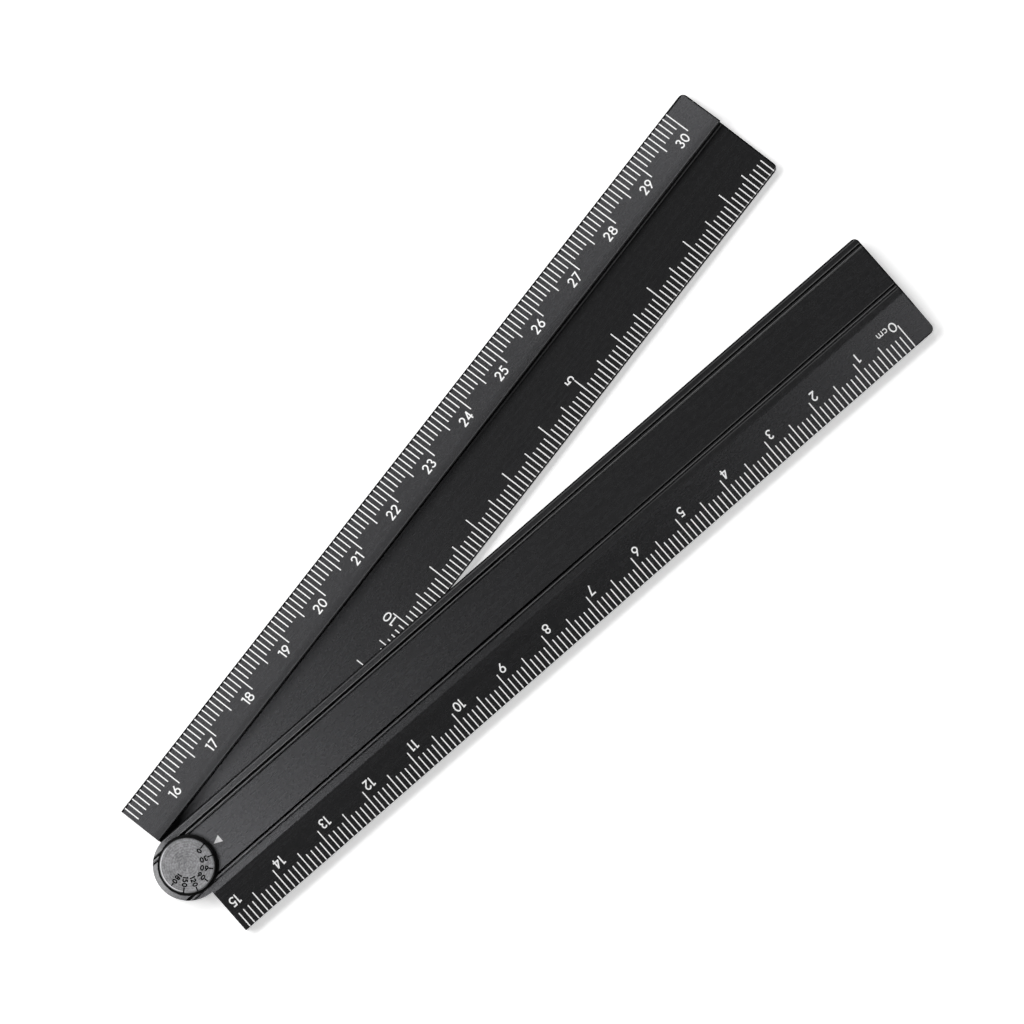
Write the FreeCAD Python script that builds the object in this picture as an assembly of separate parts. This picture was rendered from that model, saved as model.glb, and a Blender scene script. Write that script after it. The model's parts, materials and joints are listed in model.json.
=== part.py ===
import FreeCAD, Part
import math
import os

from FreeCAD import Vector

# Folding angle-finder rule: two flat arms on one pivot under a protractor dial.
# Millimetres. The origin is on the pivot axis in the plane that the rule lies on.
# +X runs along the lower arm, +Z up, and +Y points to the lower arm's flange.

# ---- arms, in plan ----
SCALE_REACH = 150.0          # pivot axis to the last graduation of either arm
END_MARGIN = 4.6             # bare metal beyond the last graduation
SLAB_WIDTH = 12.3            # twice the pivot axis to either arm's open edge
FLANGE_WIDTH = 8.17          # sloping scale flange beside the bar
SIDE_GAP = 0.26              # bar's edge to the other arm's flange when folded
HEAD_TRIM = 0.17             # bar's open edge beyond the round head at the pivot
HEAD_BLEND = 4.0             # length along the open edge that brings it in to the head
BUTT_GAP = 0.2               # between the flanges' near ends at 180 degrees
FAR_CORNER_RADIUS = 1.0
REST_OPENING_DEG = 11.1      # angle between the arms as modelled

# ---- arms, in section ----
LOWER_SLAB_THICKNESS = 1.8
UPPER_SLAB_THICKNESS = 1.7
ARM_GAP = 0.2                # lower bar's top to upper bar's underside
LOWER_FLANGE_RISE = 1.7      # step from the lower bar's top up to its flange
LOWER_FLANGE_FALL = 1.5      # drop of the flange's top towards its outer edge
UPPER_FLANGE_FALL = 1.2
EDGE_BREAK = 0.15            # chamfer along the long edges

# ---- groove pairs on the upper bar ----
GROOVE_EDGE_DISTANCE = 1.46  # open edge, or flange, to the nearer groove's middle
GROOVE_PITCH = 0.64          # middle to middle within a pair
GROOVE_WIDTH = 0.3
GROOVE_FLOOR_WIDTH = 0.06
GROOVE_DEPTH = 0.26

# ---- pivot stack ----
JOURNAL_RADIUS = 2.4
JOURNAL_CLEARANCE = 0.05     # spindle to bush, radial
BUSH_WALL = 0.55
PRESS_CLEARANCE = 0.01       # pieces pressed or glued into a seat, radial
LOOSE_CLEARANCE = 0.1        # washers on the spindle or the screw, radial
RUNNING_PLAY = 0.02          # flat faces that slide on each other
SPACER_RADIUS = 5.6

FOOT_SHOULDER = 0.4          # journal beyond the spindle's foot, in the lower arm
FOOT_FLAT_CUT = 0.4          # depth of each of the foot's two flats
TIP_SHOULDER = 0.6           # journal beyond the spindle's tip, in the dial
TIP_FLAT_CUT = 0.5           # depth of the tip's one flat
TIP_LENGTH = 1.15
TENON_END_GAP = 0.05

PRESSURE_WASHER_THICKNESS = 0.2
POCKET_CLEARANCE = 0.2       # dial's pocket to the washers in it, radial
SPRING_THICKNESS = 0.15
SPRING_BOW = 0.5             # rise of the bowed washer's middle over its ends
SPRING_PLAY = 0.02

# ---- dial ----
DIAL_RADIUS = 4.7
DIAL_TOP_WALL = 0.6          # metal over the spindle's socket
DIAL_CHAMFER = 0.3
DIAL_RIM_WIDTH = 0.9         # wall round the spring's pocket
GLIDE_RING_LEDGE = 0.4       # ring beyond the dial's rim
GLIDE_RING_THICKNESS = 0.3

# ---- screw and its recess ----
SCREW_RADIUS = 1.0
THREAD_CLEARANCE = 0.02
SCREW_LENGTH = 3.2           # under the head
SCREW_HEAD_RADIUS = 1.85
SCREW_HEAD_HEIGHT = 0.5
SCREW_SLOT_WIDTH = 0.4
SCREW_SLOT_LENGTH = 2.0
SCREW_SLOT_DEPTH = 0.3
LOCK_WASHER_THICKNESS = 0.2
LOCK_WASHER_INSET = 0.05     # head's rim to the lock washer's
LOCK_WASHER_SLIT = 0.25
LOCK_WASHER_SLIT_DEG = 30.0  # slant of the slit across the ring
HEAD_CLEARANCE = 0.45        # screw's head to its recess, radial
CAP_LEDGE = 0.85             # width of the step that carries the cap
CAP_CLEARANCE = 0.03         # cap to the recess's wall
CAP_THICKNESS = 0.2
CAP_SETBACK = 0.05           # cap's face above the plane that the rule lies on
HEAD_CAP_GAP = 0.05

# ---- derived places ----
SLAB_HALF = SLAB_WIDTH / 2
HEAD_RADIUS = SLAB_HALF - HEAD_TRIM
FLANGE_WALL = SLAB_HALF + SIDE_GAP
FLANGE_EDGE = FLANGE_WALL + FLANGE_WIDTH
NEAR_END = BUTT_GAP / 2
FAR_END = SCALE_REACH + END_MARGIN

LOWER_TOP = LOWER_SLAB_THICKNESS
LOWER_RIDGE = LOWER_TOP + LOWER_FLANGE_RISE
UPPER_BOTTOM = LOWER_TOP + ARM_GAP
UPPER_TOP = UPPER_BOTTOM + UPPER_SLAB_THICKNESS

CAP_SEAT = CAP_SETBACK + CAP_THICKNESS
HEAD_BOTTOM = CAP_SEAT + HEAD_CAP_GAP
HEAD_TOP = HEAD_BOTTOM + SCREW_HEAD_HEIGHT
RECESS_FLOOR = HEAD_TOP + LOCK_WASHER_THICKNESS

HEAD_RECESS_RADIUS = SCREW_HEAD_RADIUS + HEAD_CLEARANCE
CAP_RECESS_RADIUS = HEAD_RECESS_RADIUS + CAP_LEDGE

FOOT_RADIUS = JOURNAL_RADIUS - FOOT_SHOULDER
FOOT_FLAT = FOOT_RADIUS - FOOT_FLAT_CUT
TIP_RADIUS = JOURNAL_RADIUS - TIP_SHOULDER
TIP_FLAT = TIP_RADIUS - TIP_FLAT_CUT
BUSH_BORE = JOURNAL_RADIUS + JOURNAL_CLEARANCE
BUSH_RADIUS = BUSH_BORE + BUSH_WALL
WASHER_BORE = JOURNAL_RADIUS + LOOSE_CLEARANCE
POCKET_RADIUS = DIAL_RADIUS - DIAL_RIM_WIDTH
PRESSURE_RADIUS = POCKET_RADIUS - POCKET_CLEARANCE

SLIDE_PLANE = UPPER_TOP + RUNNING_PLAY
DIAL_BOTTOM = SLIDE_PLANE + GLIDE_RING_THICKNESS
PRESSURE_TOP = SLIDE_PLANE + PRESSURE_WASHER_THICKNESS
POCKET_CEILING = PRESSURE_TOP + SPRING_BOW + SPRING_THICKNESS + 2 * SPRING_PLAY
SOCKET_TOP = POCKET_CEILING + TIP_LENGTH + TENON_END_GAP
DIAL_TOP = SOCKET_TOP + DIAL_TOP_WALL


def cylinder(radius, bottom, top):
    return Part.makeCylinder(radius, top - bottom, Vector(0, 0, bottom))


def ring(outer, inner, bottom, top):
    return cylinder(outer, bottom, top).cut(cylinder(inner, bottom, top))


def block(x_range, y_range, z_range):
    size = [high - low for low, high in (x_range, y_range, z_range)]
    return Part.makeBox(*size, Vector(x_range[0], y_range[0], z_range[0]))


def broken_corners(corners):
    """Section points from (y, z, break): each corner is cut back along both its sides."""
    points = []
    for index, (y, z, size) in enumerate(corners):
        here = Vector(0, y, z)
        if not size:
            points.append(here)
            continue
        for other in (corners[index - 1], corners[(index + 1) % len(corners)]):
            side = Vector(0, other[0], other[1]) - here
            points.append(here + side.normalize() * size)
    return points


def bar(corners, start, end):
    """Extrusion along X of a section in Y and Z."""
    points = broken_corners(corners)
    face = Part.Face(Part.makePolygon(points + points[:1]))
    face.translate(Vector(start, 0, 0))
    return face.extrude(Vector(end - start, 0, 0))


def far_end_plan(low_y, high_y, top):
    """Plan of an arm from its near end, with both far corners rounded."""
    radius = FAR_CORNER_RADIUS
    slack = 1.0
    inset = radius * (1 - math.sqrt(0.5))
    left = NEAR_END - slack
    low_start = Vector(FAR_END - radius, low_y, 0)
    low_middle = Vector(FAR_END - inset, low_y + inset, 0)
    low_end = Vector(FAR_END, low_y + radius, 0)
    high_start = Vector(FAR_END, high_y - radius, 0)
    high_middle = Vector(FAR_END - inset, high_y - inset, 0)
    high_end = Vector(FAR_END - radius, high_y, 0)
    edges = [
        Part.LineSegment(Vector(left, low_y, 0), low_start).toShape(),
        Part.Arc(low_start, low_middle, low_end).toShape(),
        Part.LineSegment(low_end, high_start).toShape(),
        Part.Arc(high_start, high_middle, high_end).toShape(),
        Part.LineSegment(high_end, Vector(left, high_y, 0)).toShape(),
        Part.LineSegment(Vector(left, high_y, 0), Vector(left, low_y, 0)).toShape(),
    ]
    return Part.Face(Part.Wire(edges)).extrude(Vector(0, 0, top))


def open_edge_blend(open_side, top):
    """What comes off the bar's open edge, on the +Y or -Y side, next to the head."""
    slack = 1.0
    corners = [
        (NEAR_END, HEAD_RADIUS),
        (NEAR_END + HEAD_BLEND, SLAB_HALF),
        (NEAR_END + HEAD_BLEND, SLAB_HALF + slack),
        (NEAR_END, SLAB_HALF + slack),
    ]
    points = [Vector(x, open_side * y, 0) for x, y in corners]
    return Part.Face(Part.makePolygon(points + points[:1])).extrude(Vector(0, 0, top))


def arm(bar_section, full_section, open_side, top):
    """An arm along +X: round head at the pivot, then bar and flange from NEAR_END."""
    head_plan = cylinder(HEAD_RADIUS, 0, top)
    head_plan = head_plan.fuse(block((0, NEAR_END), (-HEAD_RADIUS, HEAD_RADIUS), (0, top)))
    head = bar(bar_section, -HEAD_RADIUS, NEAR_END).common(head_plan)
    edges = (open_side * SLAB_HALF, -open_side * FLANGE_EDGE)
    body = bar(full_section, NEAR_END, FAR_END)
    body = body.common(far_end_plan(min(edges), max(edges), top))
    body = body.cut(open_edge_blend(open_side, top))
    return head.fuse(body).removeSplitter()


def two_flat_post(radius, flat, bottom, top):
    keep = block((-radius, radius), (-flat, flat), (bottom, top))
    return cylinder(radius, bottom, top).common(keep)


def one_flat_post(radius, flat, bottom, top):
    keep = block((-radius, radius), (-radius, flat), (bottom, top))
    return cylinder(radius, bottom, top).common(keep)


def make_lower_arm():
    bar_section = [
        (-SLAB_HALF, 0, EDGE_BREAK),
        (SLAB_HALF, 0, 0),
        (SLAB_HALF, LOWER_TOP, 0),
        (-SLAB_HALF, LOWER_TOP, EDGE_BREAK),
    ]
    full_section = [
        (-SLAB_HALF, 0, EDGE_BREAK),
        (FLANGE_EDGE, 0, EDGE_BREAK),
        (FLANGE_EDGE, LOWER_RIDGE - LOWER_FLANGE_FALL, EDGE_BREAK),
        (FLANGE_WALL, LOWER_RIDGE, EDGE_BREAK),
        (FLANGE_WALL, LOWER_TOP, 0),
        (-SLAB_HALF, LOWER_TOP, EDGE_BREAK),
    ]
    body = arm(bar_section, full_section, -1, LOWER_RIDGE)
    body = body.cut(cylinder(CAP_RECESS_RADIUS, 0, CAP_SEAT))
    body = body.cut(cylinder(HEAD_RECESS_RADIUS, 0, RECESS_FLOOR))
    keyhole = two_flat_post(
        FOOT_RADIUS + PRESS_CLEARANCE, FOOT_FLAT + PRESS_CLEARANCE, RECESS_FLOOR, LOWER_TOP
    )
    return body.cut(keyhole)


def groove(middle):
    """Section points of one groove, from its +Y side to its -Y side."""
    floor = UPPER_TOP - GROOVE_DEPTH
    return [
        (middle + GROOVE_WIDTH / 2, UPPER_TOP, 0),
        (middle + GROOVE_FLOOR_WIDTH / 2, floor, 0),
        (middle - GROOVE_FLOOR_WIDTH / 2, floor, 0),
        (middle - GROOVE_WIDTH / 2, UPPER_TOP, 0),
    ]


def make_upper_arm():
    open_side = SLAB_HALF - GROOVE_EDGE_DISTANCE
    flange_side = GROOVE_EDGE_DISTANCE - FLANGE_WALL
    middles = (open_side, open_side - GROOVE_PITCH, flange_side + GROOVE_PITCH, flange_side)
    grooves = [point for middle in middles for point in groove(middle)]
    bar_section = [
        (SLAB_HALF, UPPER_BOTTOM, EDGE_BREAK),
        (SLAB_HALF, UPPER_TOP, EDGE_BREAK),
        *grooves,
        (-SLAB_HALF, UPPER_TOP, 0),
        (-SLAB_HALF, UPPER_BOTTOM, 0),
    ]
    full_section = [
        (SLAB_HALF, UPPER_BOTTOM, EDGE_BREAK),
        (SLAB_HALF, UPPER_TOP, EDGE_BREAK),
        *grooves,
        (-FLANGE_WALL, UPPER_TOP, 0),
        (-FLANGE_EDGE, UPPER_TOP - UPPER_FLANGE_FALL, EDGE_BREAK),
        (-FLANGE_EDGE, 0, EDGE_BREAK),
        (-FLANGE_WALL, 0, EDGE_BREAK),
        (-FLANGE_WALL, UPPER_BOTTOM, 0),
    ]
    body = arm(bar_section, full_section, 1, UPPER_TOP)
    return body.cut(cylinder(BUSH_RADIUS, UPPER_BOTTOM, UPPER_TOP))


def make_upper_arm_bush():
    return ring(BUSH_RADIUS - PRESS_CLEARANCE, BUSH_BORE, UPPER_BOTTOM, UPPER_TOP)


def make_arm_spacer_washer():
    return ring(SPACER_RADIUS, WASHER_BORE, LOWER_TOP, UPPER_BOTTOM - RUNNING_PLAY)


def make_pivot_spindle():
    post = cylinder(JOURNAL_RADIUS, LOWER_TOP, POCKET_CEILING)
    foot = two_flat_post(FOOT_RADIUS, FOOT_FLAT, RECESS_FLOOR + TENON_END_GAP, LOWER_TOP)
    tip = one_flat_post(TIP_RADIUS, TIP_FLAT, POCKET_CEILING, POCKET_CEILING + TIP_LENGTH)
    thread_end = HEAD_TOP + SCREW_LENGTH + TENON_END_GAP
    thread = cylinder(SCREW_RADIUS + THREAD_CLEARANCE, RECESS_FLOOR, thread_end)
    return post.fuse([foot, tip]).cut(thread)


def make_pressure_washer():
    return ring(PRESSURE_RADIUS, WASHER_BORE, SLIDE_PLANE, PRESSURE_TOP)


def make_bow_spring_washer():
    """A ring cut from a thin tube lying along X, so that it bows upwards across Y."""
    inside = (PRESSURE_RADIUS**2 + SPRING_BOW**2) / (2 * SPRING_BOW)
    crest = PRESSURE_TOP + SPRING_PLAY + SPRING_BOW
    start = Vector(-PRESSURE_RADIUS, 0, crest - inside)
    length = 2 * PRESSURE_RADIUS
    along = Vector(1, 0, 0)
    sheet = Part.makeCylinder(inside + SPRING_THICKNESS, length, start, along)
    sheet = sheet.cut(Part.makeCylinder(inside, length, start, along))
    return sheet.common(ring(PRESSURE_RADIUS, WASHER_BORE, PRESSURE_TOP, POCKET_CEILING))


def make_dial_glide_ring():
    inner = PRESSURE_RADIUS + LOOSE_CLEARANCE
    return ring(DIAL_RADIUS + GLIDE_RING_LEDGE, inner, SLIDE_PLANE, DIAL_BOTTOM)


def make_dial():
    shoulder = DIAL_TOP - DIAL_CHAMFER
    body = cylinder(DIAL_RADIUS, DIAL_BOTTOM, shoulder)
    face_radius = DIAL_RADIUS - DIAL_CHAMFER
    rim = Part.makeCone(DIAL_RADIUS, face_radius, DIAL_CHAMFER, Vector(0, 0, shoulder))
    pocket = cylinder(POCKET_RADIUS, DIAL_BOTTOM, POCKET_CEILING)
    socket = one_flat_post(
        TIP_RADIUS + PRESS_CLEARANCE, TIP_FLAT + PRESS_CLEARANCE, POCKET_CEILING, SOCKET_TOP
    )
    return body.fuse(rim).cut(pocket).cut(socket)


def make_pivot_screw():
    head = cylinder(SCREW_HEAD_RADIUS, HEAD_BOTTOM, HEAD_TOP)
    shank = cylinder(SCREW_RADIUS, HEAD_TOP, HEAD_TOP + SCREW_LENGTH)
    half_length = SCREW_SLOT_LENGTH / 2
    half_width = SCREW_SLOT_WIDTH / 2
    depth = (HEAD_BOTTOM, HEAD_BOTTOM + SCREW_SLOT_DEPTH)
    cross = block((-half_length, half_length), (-half_width, half_width), depth)
    cross = cross.fuse(block((-half_width, half_width), (-half_length, half_length), depth))
    return head.fuse(shank).cut(cross)


def make_lock_washer():
    inner = SCREW_RADIUS + LOOSE_CLEARANCE
    outer = SCREW_HEAD_RADIUS - LOCK_WASHER_INSET
    body = ring(outer, inner, HEAD_TOP, RECESS_FLOOR)
    half = LOCK_WASHER_SLIT / 2
    middle = (inner + outer) / 2
    slit = block((middle - outer, middle + outer), (-half, half), (HEAD_TOP, RECESS_FLOOR))
    slit = slit.common(block((0, 2 * outer), (-outer, outer), (HEAD_TOP, RECESS_FLOOR)))
    slit.rotate(Vector(middle, 0, 0), Vector(0, 0, 1), LOCK_WASHER_SLIT_DEG)
    return body.cut(slit)


def make_underside_cap():
    return cylinder(CAP_RECESS_RADIUS - CAP_CLEARANCE, CAP_SETBACK, CAP_SEAT)


def opened(shape):
    """Turns a piece of the upper arm from folded to its place as modelled."""
    shape.rotate(Vector(0, 0, 0), Vector(0, 0, 1), -REST_OPENING_DEG)
    return shape


PIECES = {
    "lower_arm": make_lower_arm(),
    "upper_arm": opened(make_upper_arm()),
    "dial": make_dial(),
    "dial_glide_ring": make_dial_glide_ring(),
    "pivot_spindle": make_pivot_spindle(),
    "upper_arm_bush": opened(make_upper_arm_bush()),
    "arm_spacer_washer": make_arm_spacer_washer(),
    "pressure_washer": make_pressure_washer(),
    "bow_spring_washer": make_bow_spring_washer(),
    "pivot_screw": make_pivot_screw(),
    "lock_washer": make_lock_washer(),
    "underside_cap": make_underside_cap(),
}

os.makedirs("parts", exist_ok=True)
for name, shape in PIECES.items():
    solids = shape.Solids
    print(name, len(solids), "solid", shape.isValid(), round(shape.Volume, 3), "mm3")
    piece = solids[0] if len(solids) == 1 else shape
    piece.exportStep(f"parts/{name}.step")
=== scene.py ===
import json
import math
from typing import NamedTuple

import bmesh
import bpy
from mathutils import Matrix, Vector, geometry
from mathutils.bvhtree import BVHTree

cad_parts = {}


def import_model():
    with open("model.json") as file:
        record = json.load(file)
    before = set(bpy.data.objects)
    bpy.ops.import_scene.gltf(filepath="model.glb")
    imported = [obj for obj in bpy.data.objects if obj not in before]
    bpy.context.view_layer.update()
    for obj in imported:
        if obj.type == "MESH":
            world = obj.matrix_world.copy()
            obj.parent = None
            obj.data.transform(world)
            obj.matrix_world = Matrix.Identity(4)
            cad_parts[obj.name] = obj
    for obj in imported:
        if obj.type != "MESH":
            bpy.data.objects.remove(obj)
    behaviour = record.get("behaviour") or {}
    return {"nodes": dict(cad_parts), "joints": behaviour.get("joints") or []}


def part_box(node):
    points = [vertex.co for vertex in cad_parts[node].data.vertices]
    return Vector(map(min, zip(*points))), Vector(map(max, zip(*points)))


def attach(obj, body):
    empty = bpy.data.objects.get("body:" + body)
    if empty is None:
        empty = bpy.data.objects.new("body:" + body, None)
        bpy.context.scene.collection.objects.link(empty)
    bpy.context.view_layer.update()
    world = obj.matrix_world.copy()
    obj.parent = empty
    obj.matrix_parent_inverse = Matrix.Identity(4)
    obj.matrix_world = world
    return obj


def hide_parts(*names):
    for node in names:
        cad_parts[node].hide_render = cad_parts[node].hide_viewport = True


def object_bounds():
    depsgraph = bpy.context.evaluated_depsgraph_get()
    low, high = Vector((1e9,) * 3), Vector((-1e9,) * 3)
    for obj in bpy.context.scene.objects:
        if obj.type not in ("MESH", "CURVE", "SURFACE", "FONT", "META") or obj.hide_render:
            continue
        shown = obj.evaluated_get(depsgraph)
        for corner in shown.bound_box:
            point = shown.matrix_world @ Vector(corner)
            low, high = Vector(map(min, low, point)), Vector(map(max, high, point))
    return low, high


# A folding angle-finder rule: two black anodised arms with white printed scales, and a satin dial
# over their pivot. Sizes are in millimetres here and in metres in Blender: MM turns one into the other.
MM = 0.001

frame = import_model()
cad_low, cad_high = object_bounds()

LOWER_BODY = "lower_arm_group"
UPPER_BODY = "upper_arm_group"
OPENING = next(joint for joint in frame["joints"] if joint["name"] == "opening")
REST_OPENING_DEG = -OPENING["range_deg"][0]      # the arms stand this far apart at rest
UPPER_TURN = -math.radians(REST_OPENING_DEG)     # turns the lower arm's axes into the upper arm's

# ---- where the arms and the dial end, from the frame ----
lower_low, lower_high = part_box("lower_arm")
dial_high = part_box("dial")[1]
FAR_END = lower_high.x / MM
FLANGE_EDGE = lower_high.y / MM
SLAB_HALF = -lower_low.y / MM    # pivot axis to the open edge of either arm's bar
DIAL_RADIUS = dial_high.x / MM
DIAL_TOP = dial_high.z / MM

# ---- the scales ----
UPPER_ZERO = 150.12          # pivot axis to the 0 mark of the upper arm
LOWER_THIRTY = 149.92        # and to the 30 mark of the lower one
SCALE_LENGTH = 150           # on each arm
CENTIMETRE = 10
TICK_WIDTH = 0.205
INK_THICKNESS = 0.02
INK_SINK = 0.01              # ink below the metal's surface, out of sight
EDGE_BREAK = 0.15

# How far from the arm's edge the ticks start, and where those of 1, 5 and 10 mm end.
UPPER_TICKS = {"start": 0.01, 1: 2.95, 5: 4.05, 10: 4.65}
LOWER_TICKS = {"start": 0.2, 1: 3.17, 5: 4.25, 10: 4.87}
INNER_TICKS = {"start": 0.2, 1: 3.1, 5: 4.1, 10: 5.07}
INNER_SCALE_REACH = 145      # the inner scale stops short of the pivot washer

DIGIT_HEIGHT = 1.75
DIGIT_STROKE = 0.245
DIGIT_GAP = 0.22
UPPER_NUMBER_TOP = 4.1       # outer edge to the top of the digits
UPPER_NUMBER_GAP = 0.8       # tick to the number beside it
LOWER_NUMBER_TOP = 4.33
LOWER_NUMBER_GAP = 0.68
UNIT_HEIGHT = 0.85
UNIT_STROKE = 0.15
UNIT_LETTER_GAP = 0.14
UNIT_GAP = 0.3               # between the 0 and its unit
ZERO_GAP = 0.2               # tick to the 0 beside it
INNER_DIGIT_GAP = 0.42
# The inner scale's numbers stand across the arm: how far past the tick, and in from the edge.
INNER_NUMBERS = {5: (0.3, 5.2), 10: (-0.2, 3.85)}

# ---- pointer and dial ----
POINTER_TIP = 5.6
POINTER_BASE = 7.05
POINTER_HALF_WIDTH = 0.68
POINTER_OFFSET = -0.1        # off the arm's middle, towards its flange
DIAL_DIGIT_HEIGHT = 0.98
DIAL_DIGIT_STROKE = 0.23
DIAL_DIGIT_GAP = 0.06
DIAL_TICK_WIDTH = 0.24
DIAL_MARK_DEPTH = 0.03
DIAL_CHAMFER = 0.3
DIAL_CUTTER_RISE = 0.2       # the marks' cutter above the face

# ---- the view ----
VIEW_AIM = (80.55, -6.35)    # the point of the floor in the middle of the view
VIEW_HEADING = 37.83         # floor direction that points up in the view, degrees from +X
VIEW_TILT = 3.65             # from straight down
VIEW_DISTANCE = 928.0
VIEW_LENS = 192.5
VIEW_FILM = 36.0
VIEW_NEAREST = 10.0
VIEW_FARTHEST = 20000.0


# ======================= shader maths =======================

class Value:
    """A number that varies over a surface. Arithmetic on it adds Math nodes."""

    def __init__(self, tree, socket):
        self.tree = tree
        self.socket = socket

    def maths(self, operation, *operands):
        node = add_node(self.tree, "Math", {"operation": operation}, dict(enumerate(operands)))
        return Value(self.tree, node.outputs[0])

    def __add__(self, other):
        return self.maths("ADD", self, other)

    __radd__ = __add__

    def __sub__(self, other):
        return self.maths("SUBTRACT", self, other)

    def __rsub__(self, other):
        return self.maths("SUBTRACT", other, self)

    def __mul__(self, other):
        return self.maths("MULTIPLY", self, other)

    __rmul__ = __mul__

    def __truediv__(self, other):
        return self.maths("DIVIDE", self, other)

    def __pow__(self, other):
        return self.maths("POWER", self, other)

    def absolute(self):
        return self.maths("ABSOLUTE", self)

    def sine(self):
        return self.maths("SINE", self)

    def at_most(self, limit):
        return self.maths("MINIMUM", self, limit)

    def near(self, middle, half, soft):
        """1 within half of middle, 0 beyond a further soft."""
        return 1 - (self - middle).absolute().step(half, half + soft)

    def step(self, low, high):
        """0 below low, 1 above high, smooth between."""
        sockets = {"Value": self, "From Min": low, "From Max": high}
        node = add_node(self.tree, "MapRange", {"interpolation_type": "SMOOTHSTEP"}, sockets)
        return Value(self.tree, node.outputs["Result"])


def connect(tree, source, socket):
    """Links a Value or a node's socket to socket, or sets a plain number or colour on it."""
    if isinstance(source, Value):
        tree.links.new(source.socket, socket)
    elif isinstance(source, bpy.types.NodeSocket):
        tree.links.new(source, socket)
    else:
        socket.default_value = source


def add_node(tree, kind, settings=None, sockets=None):
    """Adds a shader node, with its settings first and then what its sockets hold or link to."""
    node = tree.nodes.new("ShaderNode" + kind)
    for name, value in (settings or {}).items():
        setattr(node, name, value)
    for name, value in (sockets or {}).items():
        connect(tree, value, node.inputs[name])
    return node


class Finish:
    """A material: its shader's plain values, and the patterns that vary them."""

    def __init__(self, name, **values):
        self.material = bpy.data.materials.new(name)
        self.material.use_nodes = True
        self.tree = self.material.node_tree
        self.shader = self.tree.nodes["Principled BSDF"]
        for socket, value in values.items():
            self.set(socket, value)

    def set(self, socket, value):
        """Shader sockets are named with underscores here: Base_Color is Base Color."""
        connect(self.tree, value, self.shader.inputs[socket.replace("_", " ")])

    def node(self, kind, settings=None, sockets=None):
        return add_node(self.tree, kind, settings, sockets)

    def value(self, node, output=0):
        return Value(self.tree, node.outputs[output])

    def place(self, turn=0.0, stretch=(1, 1, 1)):
        """Where on the object a point is, turned about Z by degrees and then scaled along each axis."""
        here = self.node("TexCoord").outputs["Object"]
        sockets = {"Vector": here, "Rotation": (0, 0, math.radians(turn))}
        turned = self.node("Mapping", {"vector_type": "TEXTURE"}, sockets)
        scaled = self.node("VectorMath", {"operation": "MULTIPLY"}, {0: turned.outputs[0], 1: stretch})
        return scaled.outputs[0]

    def millimetres(self, turn=0.0):
        """The three coordinates of a point, turned about Z by degrees, in millimetres."""
        split = self.node("SeparateXYZ", None, {0: self.place(turn, (1 / MM, 1 / MM, 1 / MM))})
        return [self.value(split, axis) for axis in "XYZ"]

    def upward(self):
        """How far the surface faces up or down: 1 for flat faces, 0 for upright ones."""
        split = self.node("SeparateXYZ", None, {0: self.node("TexCoord").outputs["Normal"]})
        return self.value(split, "Z").absolute()

    def noise(self, place, scale, detail=3.0, roughness=0.55):
        sockets = {"Vector": place, "Scale": scale, "Detail": detail, "Roughness": roughness}
        return self.value(self.node("TexNoise", None, sockets), "Fac")

    def mix(self, factor, first, second):
        node = self.node("Mix", {"data_type": "RGBA"}, {0: factor, 6: first, 7: second})
        return node.outputs[2]

    def bump(self, height, strength, distance):
        sockets = {"Height": height, "Strength": strength, "Distance": distance}
        self.set("Normal", self.node("Bump", None, sockets).outputs[0])


def grey(level, tint=(1.0, 1.0, 1.0)):
    """The linear colour of a grey of that level, 0 to 255, as it shows on a screen."""
    share = level / 255
    linear = share / 12.92 if share < 0.04045 else ((share + 0.055) / 1.055) ** 2.4
    return (*(linear * part for part in tint), 1.0)


# ======================= finishes =======================

BLACKEST = grey(2)
COOL = (0.985, 0.985, 1.015)     # the slight blue of bare aluminium
COOLER = (0.95, 0.95, 1.0, 1.0)  # and of the shine on black anodising
DIAL_RING_PITCH = 0.42

# Patterns of the anodised metal, as features per metre along the arm, across it and upwards.
BRUSHED_STREAKS = (9, 2600, 2600)
BRUSHED_BANDS = (5, 480, 480)
DYE_MOTTLE = (1100, 1700, 1700)
# Greys of the anodised metal and of its painted highlights, 0 to 255.
DYED_GREYS = (16.5, 24.5)
HIGHLIGHT_LINE_GREY = 128
HEAD_HIGHLIGHT_GREY = 145

PLAIN_EDGE = 6.5                 # across the arm: the raised flange's inner edge gets no painted edge shade
END_SHADE_LINE = FAR_END - 0.12        # along the arm: the painted shade line on its end's edge
# The painted highlight on the upper arm's round head, and the painted shadows round the dial's ring and of
# the dial in front of it, by radius or place from the pivot axis.
HEAD_HIGHLIGHT_RADIUS = (5.0, 5.3)
HEAD_HIGHLIGHT_ALONG = (-3.0, 0.5)
HEAD_HIGHLIGHT_ACROSS = (-6.5, 1.0)
RING_CONTACT_SHADOW_RADIUS = (5.12, 5.22)
DIAL_SHADOW_RADIUS = (5.1, 5.9)
DIAL_SHADOW_ALONG = (-1.0, 3.5)
DIAL_SHADOW_STRENGTH = 0.7


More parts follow.
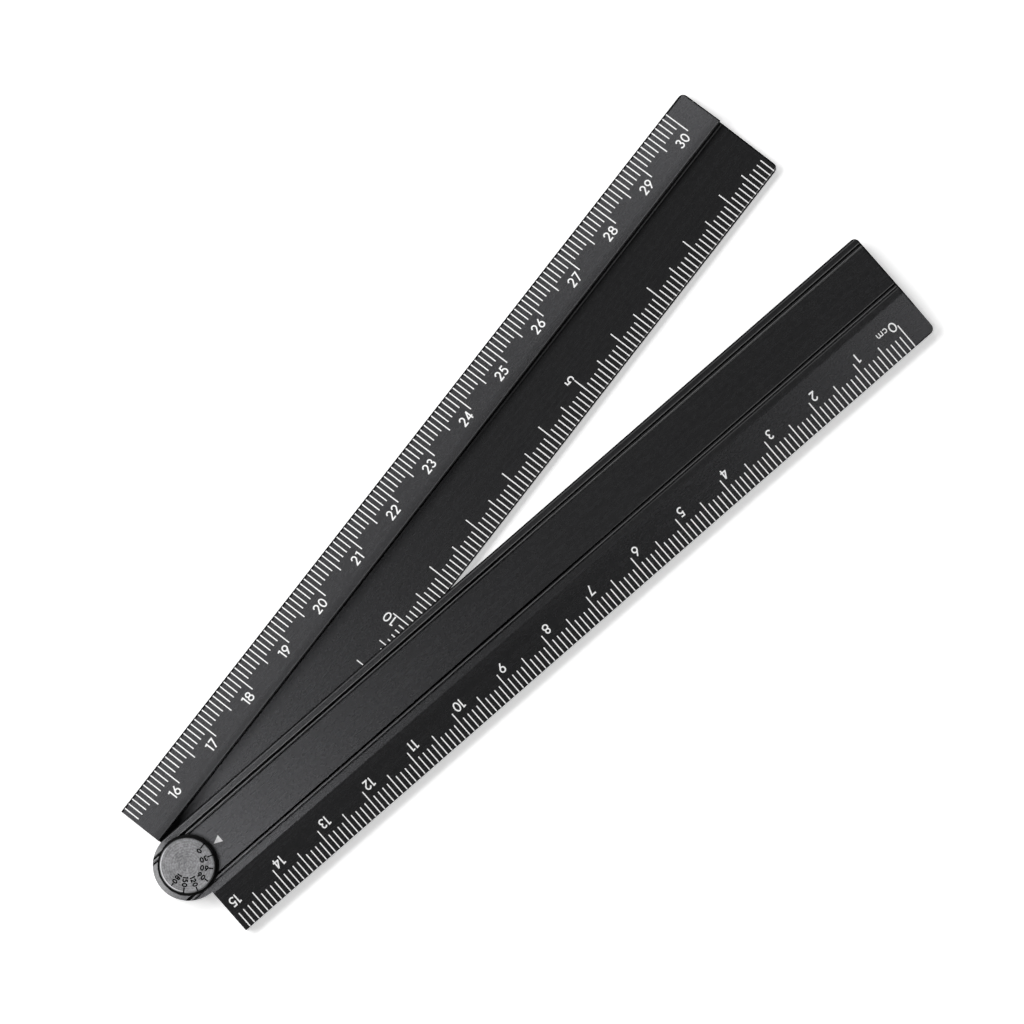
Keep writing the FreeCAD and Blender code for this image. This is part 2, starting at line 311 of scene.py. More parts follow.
def black_anodised(name, turn, top_side, shade_lines, highlight_lines, pivot_highlight_and_shadow=False):
    """Black dyed anodising over fine lengthwise brushing, on an arm that points turn degrees from +X.

    The dark lines, the sloping edge faces and a line along the end's edge are painted shade: black
    metal where grooves, steps and edges fall into shadow. The pale grey lines are painted highlights
    where ridges and edges catch the light. Both kinds of line lie above the height top_side. With
    pivot_highlight_and_shadow set, the round head gets a painted grey highlight, and painted shadows of the
    dial and its ring fall on the arm round the ring and in front of it.
    """
    finish = Finish(name, IOR=1.5, Specular_Tint=COOLER)
    along, across, up = finish.millimetres(turn)
    top = up.step(top_side - 0.1, top_side)
    upward = finish.upward()
    streaks = finish.noise(finish.place(turn, BRUSHED_STREAKS), 1.0, 3.0, 0.6)
    mottle = finish.noise(finish.place(turn, DYE_MOTTLE), 1.0, 2.0, 0.5)
    bands = finish.noise(finish.place(turn, BRUSHED_BANDS), 1.0, 2.0, 0.5)
    cloud = finish.noise(finish.place(turn), 420.0, 3.0, 0.5)
    grain = finish.noise(finish.place(turn), 4200.0, 2.0, 0.5)

    def lines(rows):
        total = 0.0
        for row in rows:
            shade = across.near(row.middle, row.half, row.soft) * row.strength
            if row.start is not None:
                shade = shade * along.step(row.start, row.start + row.fade)
            if row.end is not None:
                shade = shade * (1 - along.step(row.end, row.end + row.fade))
            total = shade + total
        return total * top

    tone = 0.2 * streaks + 0.4 * mottle + 0.15 * cloud + 0.25 * bands
    darkest, palest = DYED_GREYS
    base = finish.mix(tone.step(0.3, 0.7), grey(darkest), grey(palest))
    # Painted highlights: pale grey lines where ridges and edges catch the light.
    base = finish.mix(lines(highlight_lines), base, grey(HIGHLIGHT_LINE_GREY))
    # Painted shade: the sloping edge faces (except at the flange's inner edge), the dark lines and the line
    # along the end's edge are black where shadow falls.
    sloping = upward.step(0.55, 0.65) * (1 - upward.step(0.8, 0.9))
    chamfer_shade = sloping * (1 - across.near(PLAIN_EDGE, 0.2, 0.05))
    dark = lines(shade_lines) + chamfer_shade + along.near(END_SHADE_LINE, 0.07, 0.05) * top
    if pivot_highlight_and_shadow:
        radius = (along * along + across * across) ** 0.5
        # Painted highlight on the round head behind the pivot, made uneven by the grain.
        behind = 1 - along.step(*HEAD_HIGHLIGHT_ALONG)
        head_highlight = radius.step(*HEAD_HIGHLIGHT_RADIUS) * behind * across.step(*HEAD_HIGHLIGHT_ACROSS) * top
        base = finish.mix(head_highlight * (0.4 + 1.2 * grain).at_most(1.0), base, grey(HEAD_HIGHLIGHT_GREY))
        # Painted shadow of the dial on the arm in front of its ring.
        dial_shadow = (1 - radius.step(*DIAL_SHADOW_RADIUS)) * along.step(*DIAL_SHADOW_ALONG) * top
        # Painted contact shadow in a thin ring round the dial's ring.
        ring_contact_shadow = (1 - radius.step(*RING_CONTACT_SHADOW_RADIUS)) * top
        dark = dark + dial_shadow * DIAL_SHADOW_STRENGTH + ring_contact_shadow
    # The painted shade is black metal, so that it doesn't shine either.
    dark = dark.at_most(1.0)
    finish.set("Base_Color", finish.mix(dark, base, BLACKEST))
    finish.set("Metallic", dark)
    finish.set("Roughness", 0.22 + 0.05 * streaks + 0.05 * mottle)
    finish.bump(0.35 * streaks + 0.35 * mottle + 0.3 * grain, 0.12, 0.00002)
    return finish.material


def printed_ink(name, level, variation, gloss=0.5):
    """Pad-printed ink, a little uneven where it went on thinner."""
    finish = Finish(name, IOR=1.5, Specular_IOR_Level=gloss)
    patchy = finish.noise(finish.place(), 2600.0, 3.0, 0.6)
    colour = finish.mix(patchy.step(0.25, 0.75), grey(level - variation), grey(level))
    finish.set("Base_Color", colour)
    finish.set("Roughness", 0.5 + 0.15 * patchy)
    finish.bump(patchy, 0.2, 0.00001)
    return finish.material


def satin_aluminium():
    """The dial: a mottled blasted face with faint turned rings, a bright chamfer with a painted highlight on
    one side and a painted dark outline at its outer edge, and a black side.
    """
    finish = Finish("satin_aluminium", Metallic=1.0)
    x, y, z = finish.millimetres()
    place = finish.place()
    radius = (x * x + y * y) ** 0.5
    upward = finish.upward()
    waver = finish.noise(place, 700.0, 3.0, 0.6)
    rings = (radius * (2 * math.pi / DIAL_RING_PITCH) + 5.0 * waver).sine()
    mottle = finish.noise(place, 2600.0, 3.0, 0.65)
    grain = finish.noise(place, 9000.0, 2.0, 0.6)
    cloud = finish.noise(place, 300.0, 2.0, 0.5)
    tone = 0.5 * mottle + 0.2 * grain + 0.24 * cloud + 0.03 * rings
    face = finish.mix(tone.step(0.3, 0.64), grey(100, COOL), grey(156, COOL))
    chamfer = upward.step(0.3, 0.5) * (1 - upward.step(0.85, 0.95))
    rim = DIAL_RADIUS - DIAL_CHAMFER / 2
    # The dial's side is black, and the outer part of the chamfer is painted dark as a shaded outline.
    black_side_and_rim_shade = (1 - upward.step(0.2, 0.35) + chamfer * radius.step(rim, rim + 0.05)).at_most(1.0)
    chamfer_highlight = (0.5 * y - 0.87 * x) / radius     # painted highlight, strongest on the side towards the key light
    rim_highlight_colour = finish.mix(chamfer_highlight.step(0.2, 0.95), grey(125, COOL), grey(205, COOL))
    cut = finish.mix(chamfer, face, rim_highlight_colour)
    finish.set("Base_Color", finish.mix(black_side_and_rim_shade, cut, BLACKEST))
    finish.set("Roughness", 0.42 + 0.12 * grain - 0.2 * chamfer)
    finish.bump(0.5 * mottle + 0.3 * grain + 0.1 * rings, 0.4, 0.00002)
    return finish.material


def moulded_plastic(name, level, roughness, gloss=0.5):
    """Plastic of that grey, a little cloudy, with the fine grain of its mould."""
    finish = Finish(name, IOR=1.5, Specular_IOR_Level=gloss)
    grain = finish.noise(finish.place(), 6000.0, 3.0, 0.6)
    cloud = finish.noise(finish.place(), 400.0, 2.0, 0.5)
    finish.set("Base_Color", finish.mix(cloud.step(0.3, 0.7), grey(level - 4), grey(level + 4)))
    finish.set("Roughness", roughness + 0.15 * grain)
    finish.bump(grain, 0.3, 0.00002)
    return finish.material


def turned_steel(name, level, ring_pitch):
    """Steel with the fine rings that a lathe leaves, ring_pitch in millimetres."""
    finish = Finish(name, Metallic=1.0)
    x, y, z = finish.millimetres()
    radius = (x * x + y * y) ** 0.5
    rings = (radius * (2 * math.pi / ring_pitch)).sine()
    stain = finish.noise(finish.place(), 700.0, 3.0, 0.6)
    finish.set("Base_Color", finish.mix(stain.step(0.3, 0.7), grey(level - 14), grey(level + 8)))
    finish.set("Roughness", 0.25 + 0.2 * stain)
    finish.bump(0.4 * rings + stain, 0.25, 0.00001)
    return finish.material


class Line(NamedTuple):
    """A line along an arm: its middle across the arm, its half width and where it fades, in millimetres."""
    middle: float
    half: float
    strength: float = 1.0
    start: float = None
    end: float = None
    fade: float = 15.0
    soft: float = 0.05


# Across the upper arm, its grooves' middles are at 4.69, 4.05, -4.31 and -4.95.
# Painted shade: black lines where the grooves, the round head's grooves and the open edge fall into shadow.
UPPER_SHADE_LINES = [
    Line(4.55, 0.14, end=70),                # painted shade in the two wide grooves, narrower far out
    Line(4.63, 0.07, start=70),
    Line(-4.37, 0.14, end=75),
    Line(-4.38, 0.07, start=75),
    Line(3.94, 0.07, 0.7, end=70),           # painted shade in the narrow grooves, fading out far out
    Line(3.87, 0.09, 0.7, end=20, fade=20),
    Line(-5.07, 0.05, 0.8, end=60),
    Line(3.92, 0.12, end=-6, fade=4),        # painted shade in the grooves over the round head
    Line(-4.45, 0.18, end=-4, fade=4),
    Line(-5.1, 0.1, end=-4, fade=4),
    Line(5.95, 0.05, 0.8, end=35),           # painted shade along the open edge
    Line(6.05, 0.04, 0.8, start=35),
]
# Painted highlights: pale grey lines where the ridges, the grooves' sides and the open edge catch the light.
UPPER_HIGHLIGHT_LINES = [
    Line(4.17, 0.07, 0.9),                   # painted highlight on the ridge in each pair of grooves
    Line(4.13, 0.09, 0.5, end=8, fade=20),
    Line(4.09, 0.06, 0.6, start=80, fade=40),
    Line(-4.8, 0.07, 0.6),
    Line(4.88, 0.05, 0.5),                   # painted highlights on the sides of the grooves
    Line(-4.14, 0.06, 0.35, start=75, fade=40),
    Line(-5.2, 0.06, 0.2, start=75, fade=40),
    Line(5.78, 0.05, 0.25),
]
# Painted shade: black lines where the flange's step, the bar's edges and the corner at the pivot fall into
# shadow.
LOWER_SHADE_LINES = [
    Line(6.27, 0.07, end=95, fade=40),       # painted shade at the step up to the flange and on the bar beside it
    Line(6.23, 0.04, start=95, fade=40),
    Line(6.3, 0.4, 0.25, soft=1.5),
    Line(5.7, 0.06, 0.4, start=75, fade=30),
    Line(-6.04, 0.08),
    Line(14.36, 0.07),                       # painted shade along the flange's outer edge
    Line(5.0, 1.2, 0.8, end=3, fade=13, soft=0.6),   # painted shade in the corner at the pivot, under the upper arm
]
# Painted highlights along the step's foot, the flange's inner edge and the bar's open edge.
LOWER_HIGHLIGHT_LINES = [
    Line(5.96, 0.06, 0.8, start=75, fade=60),
    Line(6.55, 0.08, 0.25),
    Line(-5.86, 0.05, 0.35),
    Line(-5.87, 0.05, 0.45, start=90, fade=60),
]

LOWER_TOP_SIDE = 1.6             # only what lies above these heights has lines
UPPER_TOP_SIDE = 3.3
FINISHES = {
    "lower_arm": black_anodised(
        "black_anodised_lower", 0.0, LOWER_TOP_SIDE, LOWER_SHADE_LINES, LOWER_HIGHLIGHT_LINES
    ),
    "upper_arm": black_anodised(
        "black_anodised_upper", -REST_OPENING_DEG, UPPER_TOP_SIDE, UPPER_SHADE_LINES, UPPER_HIGHLIGHT_LINES, True
    ),
    "dial": satin_aluminium(),
    "black_nylon": moulded_plastic("black_nylon", 9, 0.6, 0.12),
    "acetal": moulded_plastic("white_acetal", 222, 0.35),
    "turned_steel": turned_steel("turned_steel", 185, 0.12),
    "spring_steel": turned_steel("spring_steel", 120, 0.3),
    "white_ink": printed_ink("white_ink", 252, 8),
    "pointer_ink": printed_ink("pale_grey_ink", 224, 22),
    "black_fill": printed_ink("black_fill", 8, 3, 0.05),
}
NODE_FINISHES = {
    "lower_arm": "lower_arm",
    "upper_arm": "upper_arm",
    "dial": "dial",
    "dial_glide_ring": "black_nylon",
    "arm_spacer_washer": "black_nylon",
    "underside_cap": "black_nylon",
    "upper_arm_bush": "acetal",
    "pivot_spindle": "turned_steel",
    "pressure_washer": "turned_steel",
    "pivot_screw": "turned_steel",
    "bow_spring_washer": "spring_steel",
    "lock_washer": "spring_steel",
}
for node_name, finish_name in NODE_FINISHES.items():
    node_object = frame["nodes"][node_name]
    for material_slot in node_object.material_slots:
        material_slot.material = FINISHES[finish_name]


# ======================= flat lettering =======================

ARC_STEP = 15                # degrees between the points of a curved stroke


def arc(centre_x, centre_y, radius_x, radius_y, start, end):
    """Points along part of an ellipse, from start to end in degrees."""
    count = round(abs(end - start) / ARC_STEP)
    angles = [math.radians(start + (end - start) * i / count) for i in range(count + 1)]
    return [(centre_x + radius_x * math.cos(a), centre_y + radius_y * math.sin(a)) for a in angles]


def loop(centre_x, centre_y, radius_x, radius_y):
    """A closed ellipse as two strokes that share their ends."""
    return [
        arc(centre_x, centre_y, radius_x, radius_y, 0, 180),
        arc(centre_x, centre_y, radius_x, radius_y, 180, 360),
    ]


# Each sign's strokes, along their middles, for a height of 1 between the lowest and highest middles.
# The first number is the sign's width between the outermost middles.
GLYPHS = {
    "0": (0.62, loop(0.31, 0.5, 0.31, 0.5)),
    "1": (0.25, [[(-0.04, 0.94), (0.3, 1.0)], [(0.25, 1.08), (0.25, -0.08)]]),
    "2": (0.56, [
        arc(0.28, 0.71, 0.27, 0.29, 172, -28) + [(0.03, 0.0)],
        [(-0.06, 0.0), (0.58, 0.0)],
    ]),
    "3": (0.52, [
        arc(0.24, 0.755, 0.23, 0.245, 160, -90),
        arc(0.24, 0.255, 0.28, 0.255, 90, -160),
    ]),
    "4": (0.66, [[(0.46, -0.08), (0.46, 1.06)], [(0.44, 1.0), (0.03, 0.27)], [(-0.06, 0.25), (0.68, 0.25)]]),
    "5": (0.54, [
        [(0.54, 1.0), (0.13, 1.0), (0.05, 0.5)],
        arc(0.22, 0.32, 0.31, 0.32, 122, -148),
    ]),
    "6": (0.6, loop(0.3, 0.3, 0.29, 0.3) + [[(0.47, 1.06), (0.07, 0.46)]]),
    "7": (0.54, [[(-0.04, 1.0), (0.54, 1.0), (0.13, -0.08)]]),
    "8": (0.62, loop(0.31, 0.27, 0.31, 0.27) + loop(0.31, 0.76, 0.25, 0.24)),
    "9": (0.6, loop(0.3, 0.7, 0.29, 0.3) + [[(0.13, -0.06), (0.53, 0.54)]]),
    "O": (0.74, loop(0.37, 0.5, 0.37, 0.5)),
    "c": (0.9, [arc(0.5, 0.5, 0.5, 0.5, 45, 315)]),
    "m": (1.5, [
        [(0.0, -0.1), (0.0, 1.1)],
        arc(0.375, 0.6, 0.375, 0.4, 180, 0) + [(0.75, -0.1)],
        arc(1.125, 0.6, 0.375, 0.4, 180, 0) + [(1.5, -0.1)],
    ]),
}

# Extra room on a sign's right, in millimetres, where the next thing is a tick.
RIGHT_ROOM = {"1": 0.14, "3": 0.14, "4": -0.18, "5": 0.16}


def ribbon(points, width):
    """The outline of a stroke of that width along points, with mitred corners and square ends."""
    path = [Vector(p) for p in points]
    sides = ([], [])
    for index, here in enumerate(path):
        before = (here - path[index - 1]).normalized() if index else None
        after = (path[index + 1] - here).normalized() if index + 1 < len(path) else None
        along = ((before or after) + (after or before)).normalized()
        across = Vector((-along.y, along.x))
        reach = width / 2 / max(0.45, along.dot(before or after))
        sides[0].append(here - across * reach)
        sides[1].append(here + across * reach)
    return sides[0] + sides[1][::-1]


def merged(outlines):
    """(points, triangles) of the union of overlapping outlines, each a list of points."""
    points = [point for outline in outlines for point in outline]
    faces = []
    for outline in outlines:
        start = faces[-1][-1] + 1 if faces else 0
        faces.append(list(range(start, start + len(outline))))
    result = geometry.delaunay_2d_cdt(points, [], faces, 1, 1e-5)
    triangles = [face for face, origins in zip(result[2], result[5]) if origins]
    return result[0], triangles


def lettering(text, height, stroke, gap):
    """(width, outlines) of a line of signs, in millimetres, with its lower left corner at 0, 0."""
    outlines = []
    rise = height - stroke
    pen = 0.0
    for sign in text:
        width, strokes = GLYPHS[sign]
        for points in strokes:
            placed = [(pen + stroke / 2 + x * rise, stroke / 2 + y * rise) for x, y in points]
            outlines.append(ribbon(placed, stroke))
        pen += width * rise + stroke + gap
    return pen - gap, outlines


def rectangle(x0, x1, y0, y1, cuts=()):
    """An outline with extra points on its long sides, at the heights in cuts."""
    heights = [y0, *cuts, y1]
    return [Vector((x0, y)) for y in reversed(heights)] + [Vector((x1, y)) for y in heights]


# ======================= flat bodies =======================

def add_object(name, data):
    piece = bpy.data.objects.new(name, data)
    bpy.context.scene.collection.objects.link(piece)
    return piece


def add_slab(work, tops, bottoms, triangles):
    """Adds a closed body to a bmesh: the triangles between tops, their backs between bottoms, and walls."""
    uppers = [work.verts.new(place) for place in tops]
    lowers = [work.verts.new(place) for place in bottoms]
    edges = set()
    for triangle in triangles:
        work.faces.new([uppers[i] for i in triangle])
        work.faces.new([lowers[i] for i in reversed(triangle)])
        edges.update(zip(triangle, triangle[1:] + triangle[:1]))
    for a, b in edges:
        if (b, a) not in edges:
            work.faces.new((uppers[b], uppers[a], lowers[a], lowers[b]))


def object_from(work, name, material):
    """Turns a bmesh of closed bodies into an object of the scene."""
    loose = [vertex for vertex in work.verts if not vertex.link_faces]
    bmesh.ops.delete(work, geom=loose, context="VERTS")
    bmesh.ops.recalc_face_normals(work, faces=work.faces)
    mesh = bpy.data.meshes.new(name)
    work.to_mesh(mesh)
    work.free()
    mesh.materials.append(material)
    return add_object(name, mesh)


def at(x, y, turn=0.0):
    """The matrix that turns a shape by degrees about its own origin and then moves that to x, y."""
    return Matrix.Translation((x, y, 0)) @ Matrix.Rotation(math.radians(turn), 4, "Z")


# ======================= printing on the arms =======================

class Arm(NamedTuple):
    """An arm's node and body in the frame, and how far its axes are turned from the lower arm's."""
    node: str
    body: str
    turn: float = 0.0


LOWER_ARM = Arm("lower_arm", LOWER_BODY)
UPPER_ARM = Arm("upper_arm", UPPER_BODY, UPPER_TURN)
SCALE_NUMBER = (DIGIT_HEIGHT, DIGIT_STROKE, DIGIT_GAP)
INNER_NUMBER = (DIGIT_HEIGHT, DIGIT_STROKE, INNER_DIGIT_GAP)
UNIT = (UNIT_HEIGHT, UNIT_STROKE, UNIT_LETTER_GAP)


class Print:
    """Flat shapes gathered in the arm's plan, in millimetres, then laid on it as one thin closed mesh."""

    def __init__(self, name, arm, ink):
        self.name = name
        self.arm = arm
        self.ink = FINISHES[ink]
        self.shapes = []

    def add(self, outlines, place=Matrix.Identity(4)):
        """Adds the union of outlines. place moves it from its own axes to the arm's."""
        points, triangles = merged(outlines)
        self.shapes.append(([place @ point.to_3d() for point in points], triangles))

    def tick(self, x, start, end, cuts=()):
        """Adds a mark across the arm at x, from start to end."""
        self.add([rectangle(x - TICK_WIDTH / 2, x + TICK_WIDTH / 2, start, end, cuts)])

    def text(self, text, size, place, align="LEFT"):
        """size is (height, stroke, gap). place puts the line's lower left or lower right corner."""
        width, outlines = lettering(text, *size)
        shift = -width if align == "RIGHT" else 0
        self.add(outlines, place @ Matrix.Translation((shift, 0, 0)))

    def surface(self):
        """Returns a function that gives the height of the metal's top over a point, in metres."""
        metal = frame["nodes"][self.arm.node].data
        tree = BVHTree.FromPolygons(
            [vertex.co for vertex in metal.vertices],
            [polygon.vertices for polygon in metal.polygons],
        )
        down = Vector((0, 0, -1))
        above = cad_high.z + MM

        def height(x, y):
            hit = tree.ray_cast(Vector((x, y, above)), down)[0]
            return hit.z

        return height

    def finish(self):
        work = bmesh.new()
        height = self.surface()
        turn = Matrix.Rotation(self.arm.turn, 4, "Z")
        for points, triangles in self.shapes:
            tops = []
            bottoms = []
            for point in points:
                flat = turn @ (point * MM)
                level = height(flat.x, flat.y)
                tops.append((flat.x, flat.y, level + INK_THICKNESS * MM))
                bottoms.append((flat.x, flat.y, level - INK_SINK * MM))
            add_slab(work, tops, bottoms, triangles)
        piece = object_from(work, self.name, self.ink)
        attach(piece, self.arm.body)


def tick_length(millimetre, lengths):
    """The length of the tick for a whole millimetre."""
    if millimetre % CENTIMETRE == 0:
        return lengths[10]
    return lengths[5] if millimetre % 5 == 0 else lengths[1]


def right_room(centimetre, gap):
    """What a number keeps free between itself and the tick on its right."""
    return gap + RIGHT_ROOM.get(str(centimetre)[-1], 0)


def upper_scale():
    """0 to 15 cm from the far end to the pivot, read with the arm pointing left."""
    ticks = Print("upper_scale_ticks", UPPER_ARM, "white_ink")
    edge = -FLANGE_EDGE
    for millimetre in range(SCALE_LENGTH):
        end = edge + tick_length(millimetre, UPPER_TICKS)
        ticks.tick(UPPER_ZERO - millimetre, edge + UPPER_TICKS["start"], end, [edge + EDGE_BREAK])
    ticks.finish()

    numbers = Print("upper_scale_numbers", UPPER_ARM, "white_ink")
    baseline = edge + UPPER_NUMBER_TOP + DIGIT_HEIGHT
    for centimetre in range(1, SCALE_LENGTH // CENTIMETRE + 1):
        x = UPPER_ZERO - centimetre * CENTIMETRE + right_room(centimetre, UPPER_NUMBER_GAP)
        numbers.text(str(centimetre), SCALE_NUMBER, at(x, baseline, 180), "RIGHT")
    width = lettering("O", *SCALE_NUMBER)[0]
    zero_x = UPPER_ZERO - ZERO_GAP
    numbers.text("O", SCALE_NUMBER, at(zero_x, baseline, 180))
    numbers.text("cm", UNIT, at(zero_x - width - UNIT_GAP, baseline, 180))
    numbers.finish()


def lower_scale():
    """15 to 30 cm from the pivot to the far end, along the raised flange's outer edge."""
    ticks = Print("lower_scale_ticks", LOWER_ARM, "white_ink")
    edge = FLANGE_EDGE
    for millimetre in range(SCALE_LENGTH):
        start = edge - tick_length(millimetre, LOWER_TICKS)
        ticks.tick(LOWER_THIRTY - millimetre, start, edge - LOWER_TICKS["start"])
    ticks.finish()

    numbers = Print("lower_scale_numbers", LOWER_ARM, "white_ink")
    baseline = edge - LOWER_NUMBER_TOP - DIGIT_HEIGHT
    last = 2 * SCALE_LENGTH // CENTIMETRE
    for centimetre in range(last // 2 + 1, last + 1):
        from_last = (last - centimetre) * CENTIMETRE
        x = LOWER_THIRTY - from_last - right_room(centimetre, LOWER_NUMBER_GAP)
        numbers.text(str(centimetre), SCALE_NUMBER, at(x, baseline), "RIGHT")
    numbers.finish()


def inner_scale():
    """A second scale on the lower bar's other edge, measured from the far end."""
    ticks = Print("inner_scale_ticks", LOWER_ARM, "white_ink")
    edge = -SLAB_HALF
    for millimetre in range(1, INNER_SCALE_REACH + 1):
        end = edge + tick_length(millimetre, INNER_TICKS)
        ticks.tick(FAR_END - millimetre, edge + INNER_TICKS["start"], end)
    ticks.finish()

    numbers = Print("inner_scale_numbers", LOWER_ARM, "white_ink")
    for centimetre, (past_tick, from_edge) in INNER_NUMBERS.items():
        x = FAR_END - centimetre * CENTIMETRE + past_tick
        numbers.text(str(centimetre), INNER_NUMBER, at(x, edge + from_edge, 90))
    numbers.finish()


def pointer():
    """The triangle that points at the dial's marks."""
    mark = Print("pointer", UPPER_ARM, "pointer_ink")
    tip = Vector((POINTER_TIP, 0))
    left = Vector((POINTER_BASE, -POINTER_HALF_WIDTH))
    right = Vector((POINTER_BASE, POINTER_HALF_WIDTH))
    mark.add([[tip, left, right]], at(0, POINTER_OFFSET))
    mark.finish()


upper_scale()
lower_scale()
inner_scale()
pointer()


# ======================= the dial =======================

DIAL_TEXT = (DIAL_DIGIT_HEIGHT, DIAL_DIGIT_STROKE, DIAL_DIGIT_GAP)
DIAL_FACE_RADIUS = DIAL_RADIUS - DIAL_CHAMFER
# Each mark's angle, with the radii of its tick's inner end and of its number's outer end.
DIAL_MARKS = {
    0: (3.5, 3.45),
    30: (3.6, 3.6),
    60: (3.6, 3.6),
    90: (3.72, 3.68),
    120: (3.9, 3.85),
    150: (3.75, 3.7),
    180: (3.8, 3.75),
}
TICKS_TO_RIM = (0, 30, 120, 150)
INWARD_MARKS = (0, 30, 60)   # numbers that read from the rim to the middle
INWARD_OFFSET = -0.1         # those stand a little to one side of their ticks
RIM_RUN_OUT = 0.1            # how far the cutter of a tick to the rim goes past it


def dial_outlines():
    """Outlines in plan of every engraved tick and number, each set with the matrix that places it."""
    placed = []
    half = DIAL_TICK_WIDTH / 2
    for degrees, (inner, number_end) in DIAL_MARKS.items():
        ends = [inner, DIAL_FACE_RADIUS]
        if degrees in TICKS_TO_RIM:
            ends.append(DIAL_RADIUS + RIM_RUN_OUT)
        tick = [Vector((x, -half)) for x in ends] + [Vector((x, half)) for x in reversed(ends)]
        placed.append(([tick], at(0, 0, -degrees)))
        width, outlines = lettering(str(degrees), *DIAL_TEXT)
        if degrees in INWARD_MARKS:
            corner = at(number_end, DIAL_DIGIT_HEIGHT / 2 + INWARD_OFFSET, 180)
        else:
            corner = at(number_end - width, -DIAL_DIGIT_HEIGHT / 2)
        placed.append((outlines, at(0, 0, -degrees) @ corner))
    return placed


def mark_floor(point):
    """Height of a mark's floor: a little below the face, and down along the chamfer beyond it."""
    return DIAL_TOP - DIAL_MARK_DEPTH - max(0.0, point.to_2d().length - DIAL_FACE_RADIUS)


def dial_cutter():
    """All the marks as one body that reaches from their floors to above the dial."""
    work = bmesh.new()
    top = DIAL_TOP + DIAL_CUTTER_RISE
    for outlines, place in dial_outlines():
        points, triangles = merged(outlines)
        flat = [place @ point.to_3d() for point in points]
        tops = [(point.x * MM, point.y * MM, top * MM) for point in flat]
        bottoms = [(point.x * MM, point.y * MM, mark_floor(point) * MM) for point in flat]
        add_slab(work, tops, bottoms, triangles)
    return object_from(work, "dial_cutter", FINISHES["black_fill"])


def engraved_dial():
    """The dial with its marks cut into the top. The cuts keep the cutter's black."""
    cutter = dial_cutter()
    piece = add_object("engraved_dial", frame["nodes"]["dial"].data.copy())
    cut = piece.modifiers.new("marks", "BOOLEAN")
    cut.operation = "DIFFERENCE"
    cut.solver = "EXACT"
    cut.use_self = True
    cut.material_mode = "TRANSFER"
    cut.object = cutter
    bpy.context.view_layer.update()
    shape = piece.evaluated_get(bpy.context.evaluated_depsgraph_get())
    piece.modifiers.clear()
    piece.data = bpy.data.meshes.new_from_object(shape)
    bpy.data.objects.remove(cutter)
    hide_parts("dial")
    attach(piece, LOWER_BODY)


engraved_dial()


# ======================= floor, light and camera =======================

FLOOR_HALF = 3000.0
FLOOR_DROP = 0.02            # keeps the floor off the faces that lie on it
FLOOR_CLOUD = 40.0           # features per metre
FLOOR_LIFT = 0.4             # brings the lit floor up to white for the eye, and leaves its shadows
WORLD_HORIZON = (0.1, 0.65)  # between these heights of view the room darkens to its ceiling
WORLD_RIGHT = (-0.6, 0.7)    # and between these directions to the right, to its far side
CEILING_LEVEL = 0.06
FAR_SIDE_LEVEL = 0.3         # the room's brightness at the horizon away from the key light


class Lamp(NamedTuple):
    """A rectangular lamp: its place from the view's middle, its size in millimetres, and its watts."""
    right: float
    up: float
    height: float
    width: float
    depth: float
    power: float


LAMPS = {
    "left_key": Lamp(-885, 212, 1032, 928, 593, 13.4),
    "right_edge": Lamp(353, 56, 853, 288, 100, 0.64),
    "near_sparkle": Lamp(-122, -124, 800, 100, 100, 0.61),
    "top_strip": Lamp(-227, 627, 1023, 317, 125, 1.67),
}


def floor():
    mesh = bpy.data.meshes.new("floor")
    half = FLOOR_HALF * MM
    corners = [(-half, -half, 0), (half, -half, 0), (half, half, 0), (-half, half, 0)]
    mesh.from_pydata(corners, [], [(0, 1, 2, 3)])
    piece = add_object("floor", mesh)
    piece.location.z = -FLOOR_DROP * MM
    finish = Finish("pale_floor", Roughness=0.9, Specular_IOR_Level=0.1, Emission_Strength=FLOOR_LIFT)
    tone = finish.noise(finish.place(), FLOOR_CLOUD, 2.0, 0.5)
    finish.set("Base_Color", finish.mix(tone, grey(249), grey(251)))
    light_path = finish.node("LightPath")
    seen = [finish.value(light_path, f"Is {ray} Ray") for ray in ("Camera", "Glossy", "Transmission")]
    lift = (seen[0] + seen[1] + seen[2]).at_most(1.0)
    finish.set("Emission_Color", finish.mix(lift, (0, 0, 0, 1), (1, 1, 1, 1)))
    mesh.materials.append(finish.material)


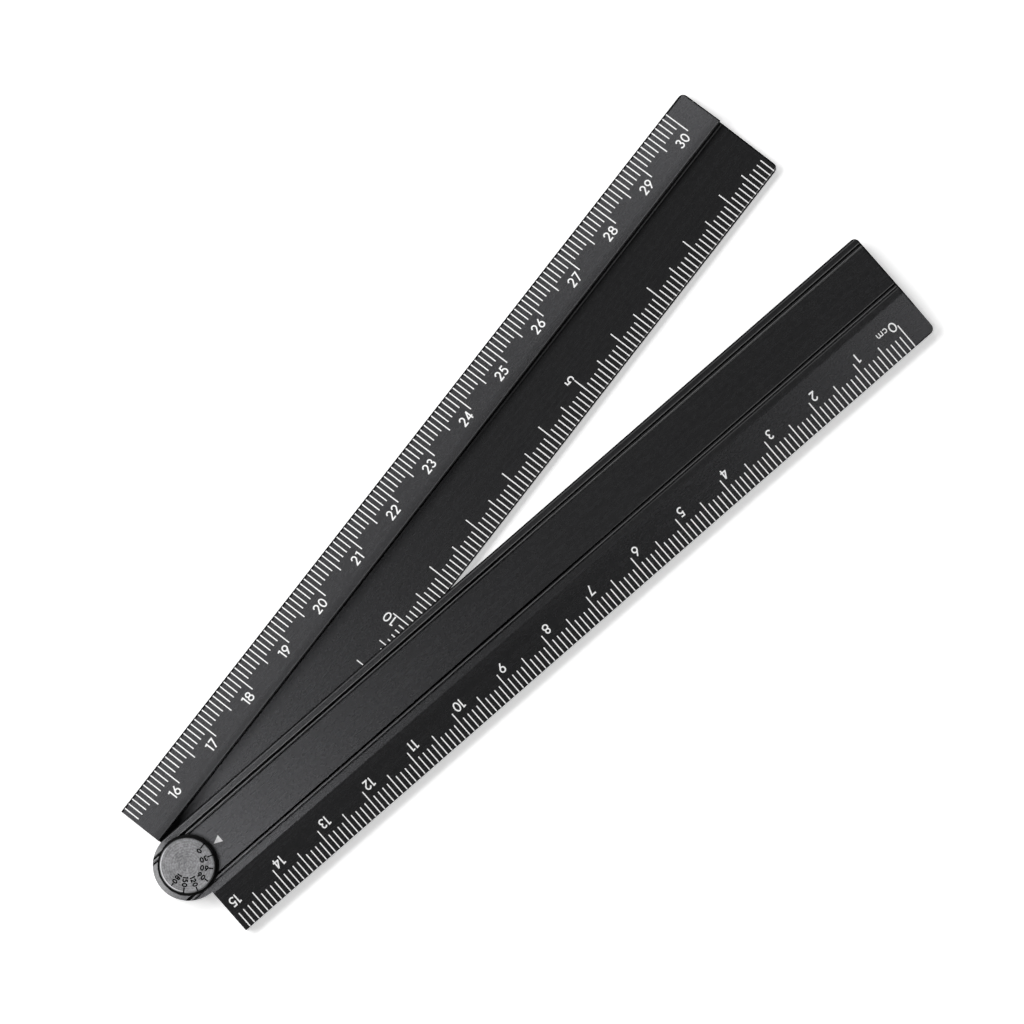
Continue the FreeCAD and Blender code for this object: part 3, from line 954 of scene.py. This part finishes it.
def in_view(right, up):
    """The floor direction of a step to the right and up in the view."""
    heading = math.radians(VIEW_HEADING)
    along = right * math.sin(heading) + up * math.cos(heading)
    across = up * math.sin(heading) - right * math.cos(heading)
    return Vector((along, across, 0))


def camera():
    data = bpy.data.cameras.new("camera")
    data.sensor_width = VIEW_FILM
    data.lens = VIEW_LENS
    data.clip_start = VIEW_NEAREST * MM
    data.clip_end = VIEW_FARTHEST * MM
    piece = add_object("camera", data)
    tilt = math.radians(VIEW_TILT)
    right = in_view(1, 0)
    back = Vector((0, 0, math.cos(tilt))) - in_view(0, math.sin(tilt))
    axes = Matrix((right, back.cross(right), back)).transposed()
    place = Vector((*VIEW_AIM, 0)) * MM + back * VIEW_DISTANCE * MM
    piece.matrix_world = Matrix.Translation(place) @ axes.to_4x4()
    bpy.context.scene.camera = piece


def lights():
    """The lamps, each facing the middle of the rule."""
    aim = Vector((*VIEW_AIM, 0)) * MM
    for name, lamp in LAMPS.items():
        data = bpy.data.lights.new(name, "AREA")
        data.shape = "RECTANGLE"
        data.size = lamp.width * MM
        data.size_y = lamp.depth * MM
        data.energy = lamp.power
        piece = add_object(name, data)
        place = aim + in_view(lamp.right, lamp.up) * MM
        place.z = lamp.height * MM
        piece.location = place
        piece.rotation_mode = "QUATERNION"
        piece.rotation_quaternion = (aim - place).to_track_quat("-Z", "Y")


def world():
    """Pale at the horizon and darker overhead, as in a white room with a high dark ceiling."""
    room = bpy.data.worlds.new("studio")
    bpy.context.scene.world = room
    room.use_nodes = True
    tree = room.node_tree
    towards = add_node(tree, "TexCoord").outputs["Generated"]
    split = add_node(tree, "SeparateXYZ", None, {0: towards})
    x, y, z = (Value(tree, split.outputs[axis]) for axis in "XYZ")
    right = in_view(1, 0)
    to_right = x * right.x + y * right.y
    horizon = 1 - to_right.step(*WORLD_RIGHT) * (1 - FAR_SIDE_LEVEL)
    level = horizon - (horizon - CEILING_LEVEL) * z.step(*WORLD_HORIZON)
    connect(tree, level, tree.nodes["Background"].inputs["Color"])


floor()
camera()
lights()
world()
bpy.context.scene.view_settings.view_transform = "Standard"
